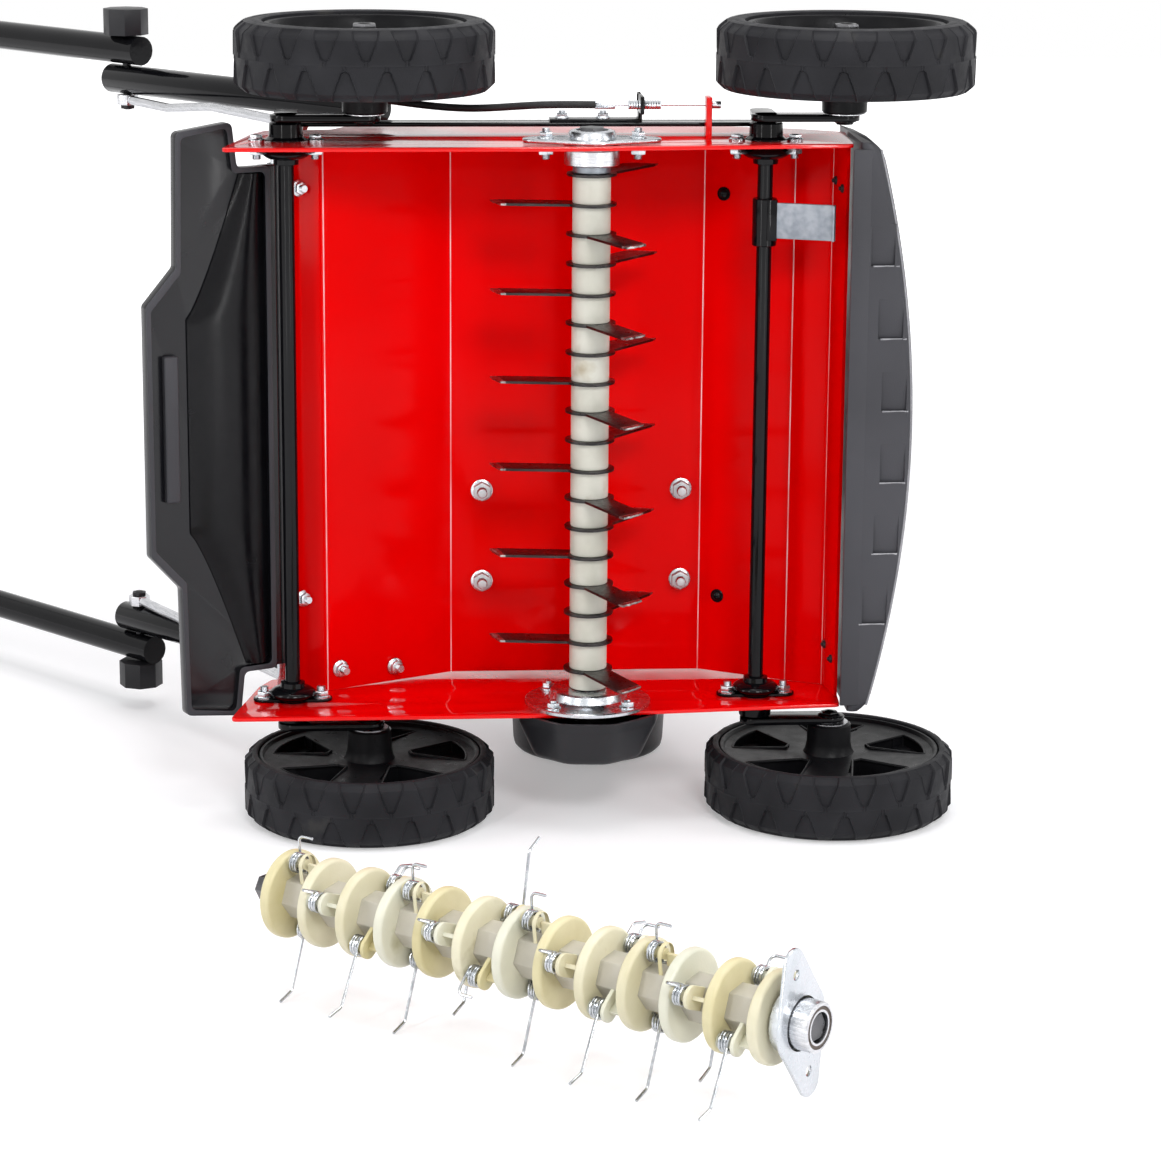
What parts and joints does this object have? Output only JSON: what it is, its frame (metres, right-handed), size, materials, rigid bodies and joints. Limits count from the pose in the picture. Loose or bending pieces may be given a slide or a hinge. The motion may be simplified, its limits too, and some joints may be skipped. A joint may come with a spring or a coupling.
{
  "type": "lawn scarifier",
  "caption": "Walk-behind petrol lawn scarifier with a belt-driven knife drum, wheels raised by a linked cable lever, a folding handlebar and a spare spring-tine drum.",
  "frame": {"origin": "centre of the flat round land on the outside of the belt cover, on the engine's crankshaft axis; the machine lies on its left side as pictured, on the floor z = 0", "axes": "+X to the machine's front, +Y to the machine's top (away from its underside), +Z to the machine's right side, which is up as it lies; -Z is out of the belt cover's land"},
  "size_m": [1.1612, 1.561, 0.634],
  "materials": {
    "red_enamel": "glossy red enamel on pressed steel",
    "black_paint": "black powder coat, semi-gloss",
    "black_plastic": "black moulded plastic",
    "bumper_plastic": "dark grey moulded plastic",
    "tyre": "black rubber with a light dust",
    "zinc_plate": "bright zinc plate",
    "dark_steel": "dark oiled steel",
    "knife_steel": "hardened steel knives, worn bright at the edge, between ivory nylon spacers",
    "bearing_steel": "ground bearing steel",
    "cream_nylon": "cream moulded nylon that carries plated spring wire",
    "casting": "die-cast aluminium",
    "rubber": "black rubber and cable sleeve"
  },
  "bodies": {
    "machine": {"deck_roof": "red_enamel", "side_plate_left": "red_enamel", "side_plate_right": "red_enamel", "front_bumper": "bumper_plastic", "flap_hinge_rod": "zinc_plate", "axle_bush_rear_left": "black_plastic", "axle_bush_rear_right": "black_plastic", "axle_bush_front_left": "black_plastic", "axle_bush_front_right": "black_plastic", "bearing_flange_right": "zinc_plate", "bearing_housing_left": "zinc_plate", "drive_belt": "rubber", "belt_cover": "black_plastic", "crankcase": "casting", "cylinder": "casting", "valve_cover": "zinc_plate", "fan_shroud": "red_enamel", "fuel_tank": "black_plastic", "air_cleaner": "black_plastic", "muffler": "dark_steel", "lower_bar_left": "black_paint", "lower_bar_right": "black_paint", "brace_left": "zinc_plate", "brace_right": "zinc_plate", "knob_left": "black_plastic", "knob_right": "black_plastic", "depth_cable": "rubber"},
    "drum": {"knife_drum": "knife_steel", "knife_shaft": "dark_steel", "drum_bearing": "bearing_steel", "drum_pulley": "dark_steel"},
    "crankshaft": {"engine_pulley": "dark_steel"},
    "tensioner": {"belt_tensioner": "dark_steel"},
    "rear_carriage": {"rear_axle": "black_paint"},
    "front_carriage": {"front_axle": "black_paint", "catch_plate": "zinc_plate"},
    "rear_left_wheel": {"wheel_rear_left": "black_plastic", "tyre_rear_left": "tyre"},
    "rear_right_wheel": {"wheel_rear_right": "black_plastic", "tyre_rear_right": "tyre"},
    "front_left_wheel": {"wheel_front_left": "black_plastic", "tyre_front_left": "tyre"},
    "front_right_wheel": {"wheel_front_right": "black_plastic", "tyre_front_right": "tyre"},
    "link": {"link_bar": "black_paint"},
    "height_lever": {"depth_lever": "dark_steel"},
    "flap": {"rear_flap": "black_plastic"},
    "handlebar": {"upper_handlebar": "black_paint"},
    "bail": {"drive_bail": "black_paint"},
    "throttle": {"throttle_lever": "dark_steel"},
    "starter": {"starter_grip": "rubber"},
    "tank_cap": {"fuel_cap": "black_plastic"},
    "oil_plug": {"oil_dipstick": "black_plastic"},
    "spare_drum": {"tine_set_1": "cream_nylon", "tine_set_2": "cream_nylon", "tine_set_3": "cream_nylon", "tine_set_4": "cream_nylon", "tine_shaft": "dark_steel", "tine_bearing": "bearing_steel"},
    "spare_flange": {"tine_flange": "zinc_plate"}
  },
  "joints": [
    {"name": "knife_drum_spin", "type": "hinge", "parent": "machine", "child": "drum", "pos_m": [-0.0156, -0.2021, 0.317], "axis": [0, 0, 1], "continuous": true},
    {"name": "crank_spin", "type": "hinge", "parent": "machine", "child": "crankshaft", "pos_m": [0, 0, 0.1], "axis": [0, 0, 1], "continuous": true},
    {"name": "tensioner_swing", "type": "hinge", "parent": "machine", "child": "tensioner", "pos_m": [0.00209, -0.11101, 0.0862], "axis": [0, 0, 1], "range_deg": [-15, 0], "stiffness_Nm_per_rad": 0.5},
    {"name": "rear_axle_swing", "type": "hinge", "parent": "machine", "child": "rear_carriage", "pos_m": [-0.2498, -0.187, 0.317], "axis": [0, 0, 1], "range_deg": [0, 16]},
    {"name": "front_axle_swing", "type": "hinge", "parent": "machine", "child": "front_carriage", "pos_m": [0.1205, -0.187, 0.317], "axis": [0, 0, 1], "range_deg": [0, 16]},
    {"name": "rear_left_wheel_spin", "type": "hinge", "parent": "rear_carriage", "child": "rear_left_wheel", "pos_m": [-0.1892, -0.187, 0.027], "axis": [0, 0, 1], "continuous": true},
    {"name": "rear_right_wheel_spin", "type": "hinge", "parent": "rear_carriage", "child": "rear_right_wheel", "pos_m": [-0.1892, -0.187, 0.607], "axis": [0, 0, 1], "continuous": true},
    {"name": "front_left_wheel_spin", "type": "hinge", "parent": "front_carriage", "child": "front_left_wheel", "pos_m": [0.1811, -0.187, 0.027], "axis": [0, 0, 1], "continuous": true},
    {"name": "front_right_wheel_spin", "type": "hinge", "parent": "front_carriage", "child": "front_right_wheel", "pos_m": [0.1811, -0.187, 0.607], "axis": [0, 0, 1], "continuous": true},
    {"name": "link_bar_slide", "type": "slide", "parent": "machine", "child": "link", "axis": [1, 0, 0], "range_m": [-0.0096, 0], "deforming": ["depth_cable"]},
    {"name": "height_lever_swing", "type": "hinge", "parent": "machine", "child": "height_lever", "pos_m": [-0.2736, 0.015, 0.567], "axis": [0, 0, 1], "range_deg": [0, 33]},
    {"name": "flap_swing", "type": "hinge", "parent": "machine", "child": "flap", "pos_m": [-0.2591, -0.144, 0.317], "axis": [0, 0, 1], "range_deg": [-70, 0]},
    {"name": "handlebar_fold", "type": "hinge", "parent": "machine", "child": "handlebar", "pos_m": [-0.3876, 0.138, 0.317], "axis": [0, 0, 1], "range_deg": [-125, 0]},
    {"name": "bail_squeeze", "type": "hinge", "parent": "handlebar", "child": "bail", "pos_m": [-0.76483, 0.57196, 0.317], "axis": [0, 0, 1], "range_deg": [-28, 0], "stiffness_Nm_per_rad": 1},
    {"name": "throttle_swing", "type": "hinge", "parent": "machine", "child": "throttle", "pos_m": [-0.07967, 0.046, 0.3937], "axis": [0, 0, 1], "range_deg": [-20, 20]},
    {"name": "starter_pull", "type": "slide", "parent": "machine", "child": "starter", "axis": [0.5, 0.866, 0], "range_m": [0, 0.3], "stiffness_N_per_m": 20},
    {"name": "fuel_cap_turn", "type": "hinge", "parent": "machine", "child": "tank_cap", "pos_m": [0.0594, 0.2, 0.27], "axis": [0, 1, 0], "continuous": true},
    {"name": "oil_plug_turn", "type": "hinge", "parent": "machine", "child": "oil_plug", "pos_m": [0.0799, -0.07425, 0.17], "axis": [0.8759, 0.4824, 0], "continuous": true},
    {"name": "spare_drum_lift", "type": "slide", "parent": "machine", "child": "spare_drum", "axis": [0, 0, 1], "range_m": [0, 0.2]},
    {"name": "spare_flange_spin", "type": "hinge", "parent": "spare_drum", "child": "spare_flange", "pos_m": [-0.2676, -0.565, 0.06942], "axis": [0.7705, -0.6374, 0], "continuous": true}
  ],
  "couplings": [
    {"joint": "crank_spin", "follows": "knife_drum_spin", "ratio": 1.1333},
    {"joint": "front_axle_swing", "follows": "rear_axle_swing", "ratio": 1},
    {"joint": "link_bar_slide", "follows": "rear_axle_swing", "m_per_rad": -0.034},
    {"joint": "height_lever_swing", "follows": "rear_axle_swing", "ratio": 2}
  ]
}
